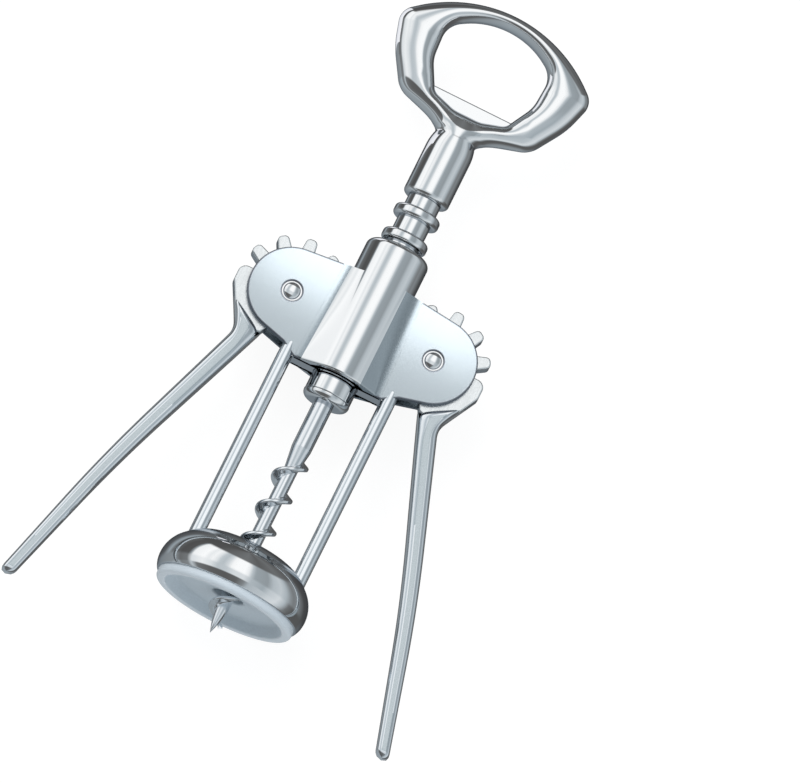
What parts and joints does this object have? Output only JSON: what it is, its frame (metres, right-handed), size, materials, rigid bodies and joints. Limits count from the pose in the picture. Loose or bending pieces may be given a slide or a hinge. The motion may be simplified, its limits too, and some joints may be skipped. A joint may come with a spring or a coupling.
{
  "type": "wing corkscrew",
  "caption": "Chromed wing corkscrew: geared levers drive a ringed rack that carries a right-handed worm and a crown-cap opener head.",
  "frame": {"origin": "on the worm's axis, at the underside of the base's rim, where a bottle's neck enters", "axes": "the tool lies on its back: +Y along the worm's axis from the base to the opener head, +Z out of the front face, +X to the right seen from the front"},
  "size_m": [0.112, 0.1928, 0.0414],
  "materials": {
    "frame_chrome": "satin chrome plates with polished rims, barrel, legs and ring",
    "lever_chrome": "polished chrome, satin on the toothed hub",
    "rack_chrome": "polished chrome",
    "head_chrome": "polished chrome",
    "collar_chrome": "polished chrome",
    "worm_steel": "plated steel",
    "pin_steel": "plated steel",
    "liner_plastic": "blue-grey plastic, half gloss"
  },
  "bodies": {
    "frame": {"frame_casting": "frame_chrome", "base_liner": "liner_plastic", "left_lever_pin": "pin_steel", "right_lever_pin": "pin_steel"},
    "left_lever": {"left_lever": "lever_chrome"},
    "right_lever": {"right_lever": "lever_chrome"},
    "rack": {"rack_sleeve": "rack_chrome"},
    "handle": {"opener_head": "head_chrome", "worm": "worm_steel", "worm_collar": "collar_chrome", "cross_pin": "pin_steel"}
  },
  "joints": [
    {"name": "rack_slide", "type": "slide", "parent": "frame", "child": "rack", "axis": [0, 1, 0], "range_m": [-0.0299, 0.0038]},
    {"name": "right_lever_hinge", "type": "hinge", "parent": "frame", "child": "right_lever", "pos_m": [0.0203, 0.0825, 0], "axis": [0, 0, 1], "range_deg": [-16, 125]},
    {"name": "left_lever_hinge", "type": "hinge", "parent": "frame", "child": "left_lever", "pos_m": [-0.0203, 0.0825, 0], "axis": [0, 0, -1], "range_deg": [-16, 125]},
    {"name": "handle_spin", "type": "hinge", "parent": "rack", "child": "handle", "pos_m": [0, 0.0825, 0], "axis": [0, 1, 0], "continuous": true}
  ],
  "couplings": [
    {"joint": "right_lever_hinge", "follows": "rack_slide", "rad_per_m": -72.722},
    {"joint": "left_lever_hinge", "follows": "rack_slide", "rad_per_m": -72.722}
  ]
}
